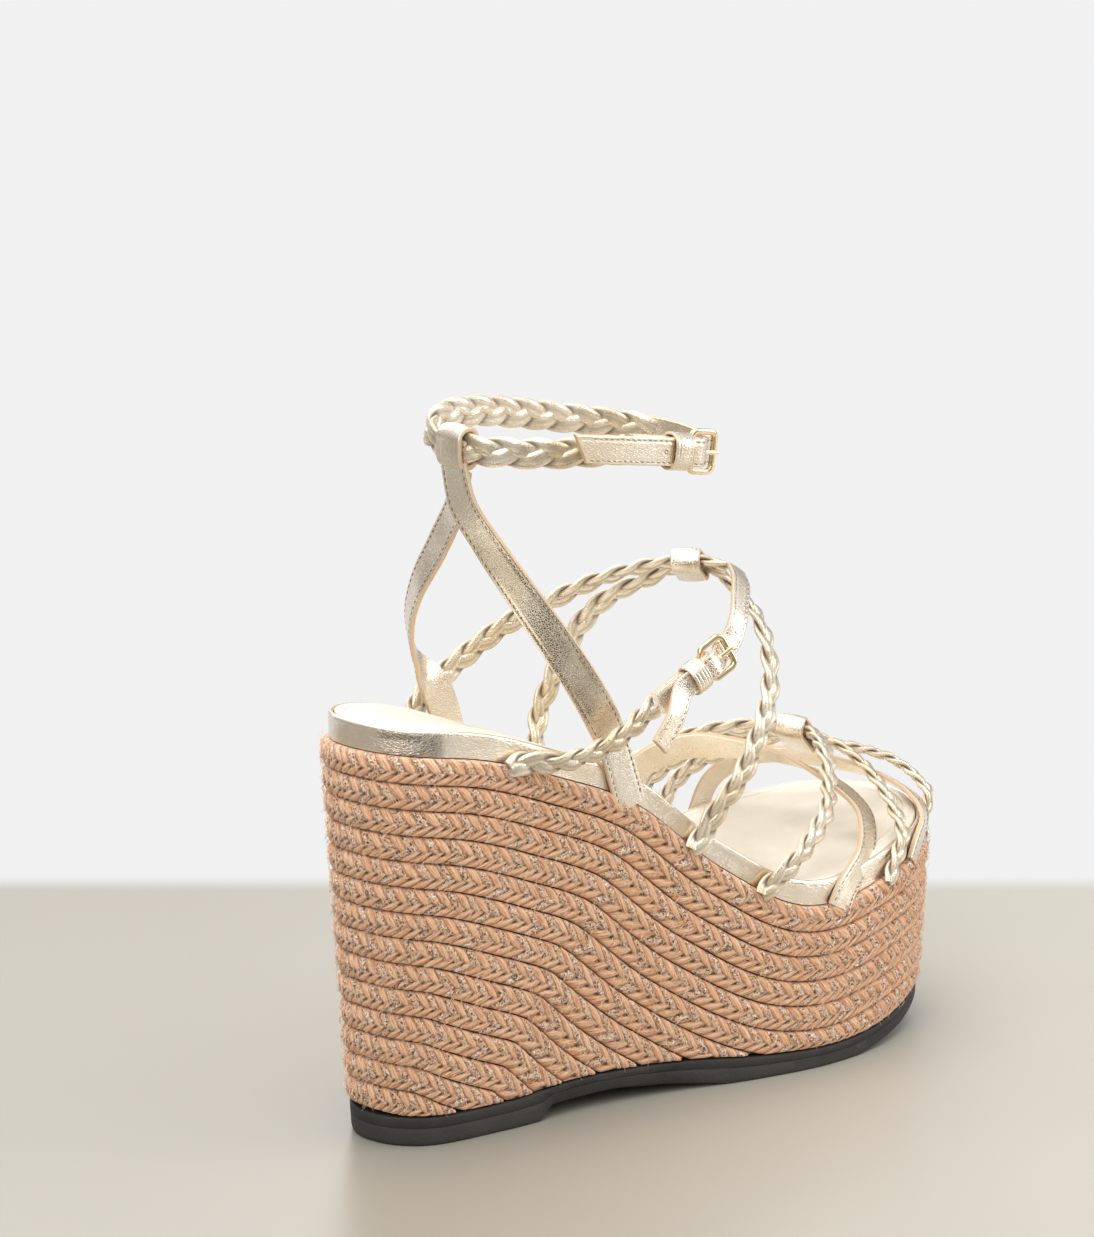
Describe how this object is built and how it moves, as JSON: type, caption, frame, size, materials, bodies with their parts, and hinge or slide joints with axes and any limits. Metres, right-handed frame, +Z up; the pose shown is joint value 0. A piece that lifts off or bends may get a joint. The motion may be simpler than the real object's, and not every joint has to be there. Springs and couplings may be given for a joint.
{
  "type": "wedge sandal",
  "caption": "Women's wedge sandal, right foot: jute-wrapped wedge on a rubber outsole, with flat and plaited metallic leather straps, gathered by leather rings and closed by prong buckles.",
  "frame": {"origin": "on the ground under the middle of the sandal", "axes": "+X to the toe, +Y to the inner side of the foot, +Z up"},
  "size_m": [0.2316, 0.0925, 0.2126],
  "materials": {
    "leather": "pale champagne-gold metallic leather, fine crinkle, satin",
    "plait": "plaited champagne-gold metallic leather strands, satin",
    "jute": "plaited natural jute tape with gold and silver thread",
    "rubber": "charcoal moulded rubber, matte",
    "cork": "pressed cork, raw",
    "board": "fibre board, raw",
    "foam": "latex foam, matte",
    "steel": "plain spring steel",
    "buckle_gold": "pale gold plate, polished"
  },
  "bodies": {
    "root": {"outsole": "rubber", "wedge_core": "cork", "steel_shank": "steel", "rand": "leather", "insole_board": "board", "footbed_pad": "foam", "sock_lining": "leather", "jute_row_01": "jute", "jute_row_02": "jute", "jute_row_03": "jute", "jute_row_04": "jute", "jute_row_05": "jute", "jute_row_06": "jute", "jute_row_07": "jute", "jute_row_08": "jute", "jute_row_09": "jute", "jute_row_10": "jute", "jute_row_11": "jute", "jute_row_12": "jute", "jute_row_13": "jute", "jute_row_14": "jute", "heel_strap_outer": "leather", "heel_strap_inner": "leather", "vamp_strap": "leather", "toe_strap": "leather", "ankle_plait": "plait", "instep_plait_back": "plait", "instep_plait_top": "plait", "instep_plait_front": "plait", "vamp_plait": "plait", "toe_plait_middle": "plait", "toe_plait_front": "plait", "heel_tab": "leather", "instep_ring": "leather", "vamp_ring": "leather", "ankle_tip_strap": "leather", "ankle_buckle_end": "leather", "instep_tip_strap": "leather", "instep_buckle_end": "leather"},
    "ankle_frame": {"ankle_buckle_frame": "buckle_gold"},
    "ankle_prong": {"ankle_buckle_prong": "buckle_gold"},
    "ankle_keeper": {"ankle_keeper": "leather"},
    "instep_frame": {"instep_buckle_frame": "buckle_gold"},
    "instep_prong": {"instep_buckle_prong": "buckle_gold"},
    "instep_keeper": {"instep_keeper": "leather"}
  },
  "joints": [
    {"name": "ankle_frame_tilt", "type": "hinge", "parent": "root", "child": "ankle_frame", "pos_m": [-0.0046, -0.0314, 0.198], "axis": [0.1602, 0, 0.9871], "range_deg": [-10, 4]},
    {"name": "ankle_prong_lift", "type": "hinge", "parent": "ankle_frame", "child": "ankle_prong", "pos_m": [-0.0046, -0.0314, 0.198], "axis": [-0.1602, 0, -0.9871], "range_deg": [0, 45]},
    {"name": "ankle_keeper_slide", "type": "slide", "parent": "root", "child": "ankle_keeper", "axis": [0.9863, -0.04, -0.16], "range_m": [-0.008, 0.0008]},
    {"name": "instep_frame_tilt", "type": "hinge", "parent": "root", "child": "instep_frame", "pos_m": [-0.0052, -0.0394, 0.1342], "axis": [-0.4139, 0.2542, 0.8741], "range_deg": [-10, 4]},
    {"name": "instep_prong_lift", "type": "hinge", "parent": "instep_frame", "child": "instep_prong", "pos_m": [-0.0052, -0.0394, 0.1342], "axis": [0.4139, -0.2542, -0.8741], "range_deg": [0, 45]},
    {"name": "instep_keeper_slide", "type": "slide", "parent": "root", "child": "instep_keeper", "axis": [0.8915, -0.081, 0.4457], "range_m": [-0.0012, 0.0008]}
  ]
}
